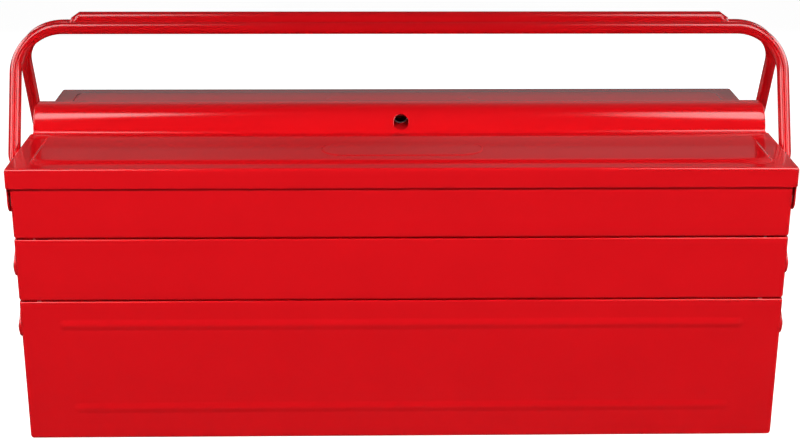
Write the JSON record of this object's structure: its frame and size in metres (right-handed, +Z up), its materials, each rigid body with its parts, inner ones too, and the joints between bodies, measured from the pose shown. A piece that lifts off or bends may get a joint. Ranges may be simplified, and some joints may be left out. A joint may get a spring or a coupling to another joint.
{
  "type": "cantilever tool box",
  "caption": "Sheet-steel cantilever tool box whose paired trays spread apart on parallel links, with hinged half lids, a padlock hole and two swinging carrying handles.",
  "frame": {"origin": "centre of the flat bottom, on the ground under the middle of the closed box", "axes": "+X along the length, -Y towards the front, +Z up"},
  "size_m": [0.552, 0.2106, 0.2828],
  "materials": {
    "box_paint": "gloss",
    "lid_paint": "gloss",
    "handle_paint": "gloss",
    "link_paint": "gloss",
    "zinc": "satin"
  },
  "bodies": {
    "base": {"bottom_box": "box_paint", "front_base_rivets": "zinc", "rear_base_rivets": "zinc"},
    "front_long_arms": {"front_long_arm_left": "link_paint", "front_long_arm_right": "link_paint"},
    "front_middle_tray": {"front_middle_tray": "box_paint", "front_middle_rivets": "zinc"},
    "front_upper_tray": {"front_upper_tray": "box_paint", "front_upper_rivets": "zinc", "front_handle_rivets": "zinc", "front_handle_spacers": "zinc", "front_lid_rivets": "zinc"},
    "front_lower_links": {"front_lower_link_left": "link_paint", "front_lower_link_right": "link_paint"},
    "front_upper_links": {"front_upper_link_left": "link_paint", "front_upper_link_right": "link_paint"},
    "front_lid": {"front_lid": "lid_paint"},
    "front_handle": {"front_handle": "handle_paint"},
    "rear_long_arms": {"rear_long_arm_left": "link_paint", "rear_long_arm_right": "link_paint"},
    "rear_middle_tray": {"rear_middle_tray": "box_paint", "rear_middle_rivets": "zinc"},
    "rear_upper_tray": {"rear_upper_tray": "box_paint", "rear_upper_rivets": "zinc", "rear_handle_rivets": "zinc", "rear_handle_spacers": "zinc", "rear_lid_rivets": "zinc"},
    "rear_lower_links": {"rear_lower_link_left": "link_paint", "rear_lower_link_right": "link_paint"},
    "rear_upper_links": {"rear_upper_link_left": "link_paint", "rear_upper_link_right": "link_paint"},
    "rear_lid": {"rear_lid": "lid_paint"},
    "rear_handle": {"rear_handle": "handle_paint", "grip_cover": "handle_paint"}
  },
  "joints": [
    {"name": "front_spread", "type": "hinge", "parent": "base", "child": "front_long_arms", "pos_m": [0, -0.088, 0.081], "axis": [1, 0, 0], "range_deg": [0, 80]},
    {"name": "front_middle_tray_level", "type": "hinge", "parent": "front_long_arms", "child": "front_middle_tray", "pos_m": [0, -0.05, 0.1262], "axis": [1, 0, 0], "range_deg": [-80, 0]},
    {"name": "front_upper_tray_level", "type": "hinge", "parent": "front_long_arms", "child": "front_upper_tray", "pos_m": [0, -0.012, 0.1714], "axis": [1, 0, 0], "range_deg": [-80, 0]},
    {"name": "front_lower_link_swing", "type": "hinge", "parent": "base", "child": "front_lower_links", "pos_m": [0, -0.05, 0.081], "axis": [1, 0, 0], "range_deg": [0, 80]},
    {"name": "front_upper_link_swing", "type": "hinge", "parent": "front_middle_tray", "child": "front_upper_links", "pos_m": [0, -0.088, 0.1262], "axis": [1, 0, 0], "range_deg": [0, 80]},
    {"name": "front_lid_hinge", "type": "hinge", "parent": "front_upper_tray", "child": "front_lid", "pos_m": [0, -0.093, 0.175], "axis": [1, 0, 0], "range_deg": [0, 95]},
    {"name": "front_handle_swing", "type": "hinge", "parent": "front_upper_tray", "child": "front_handle", "pos_m": [0, -0.05, 0.1714], "axis": [1, 0, 0], "range_deg": [0, 160]},
    {"name": "rear_spread", "type": "hinge", "parent": "base", "child": "rear_long_arms", "pos_m": [0, 0.088, 0.081], "axis": [-1, 0, 0], "range_deg": [0, 80]},
    {"name": "rear_middle_tray_level", "type": "hinge", "parent": "rear_long_arms", "child": "rear_middle_tray", "pos_m": [0, 0.05, 0.1262], "axis": [-1, 0, 0], "range_deg": [-80, 0]},
    {"name": "rear_upper_tray_level", "type": "hinge", "parent": "rear_long_arms", "child": "rear_upper_tray", "pos_m": [0, 0.012, 0.1714], "axis": [-1, 0, 0], "range_deg": [-80, 0]},
    {"name": "rear_lower_link_swing", "type": "hinge", "parent": "base", "child": "rear_lower_links", "pos_m": [0, 0.05, 0.081], "axis": [-1, 0, 0], "range_deg": [0, 80]},
    {"name": "rear_upper_link_swing", "type": "hinge", "parent": "rear_middle_tray", "child": "rear_upper_links", "pos_m": [0, 0.088, 0.1262], "axis": [-1, 0, 0], "range_deg": [0, 80]},
    {"name": "rear_lid_hinge", "type": "hinge", "parent": "rear_upper_tray", "child": "rear_lid", "pos_m": [0, 0.093, 0.175], "axis": [-1, 0, 0], "range_deg": [0, 95]},
    {"name": "rear_handle_swing", "type": "hinge", "parent": "rear_upper_tray", "child": "rear_handle", "pos_m": [0, 0.05, 0.1714], "axis": [-1, 0, 0], "range_deg": [0, 160]}
  ],
  "couplings": [
    {"joint": "front_middle_tray_level", "follows": "front_spread", "ratio": -1},
    {"joint": "front_upper_tray_level", "follows": "front_spread", "ratio": -1},
    {"joint": "front_lower_link_swing", "follows": "front_spread", "ratio": 1},
    {"joint": "front_upper_link_swing", "follows": "front_spread", "ratio": 1},
    {"joint": "rear_middle_tray_level", "follows": "rear_spread", "ratio": -1},
    {"joint": "rear_upper_tray_level", "follows": "rear_spread", "ratio": -1},
    {"joint": "rear_lower_link_swing", "follows": "rear_spread", "ratio": 1},
    {"joint": "rear_upper_link_swing", "follows": "rear_spread", "ratio": 1}
  ]
}
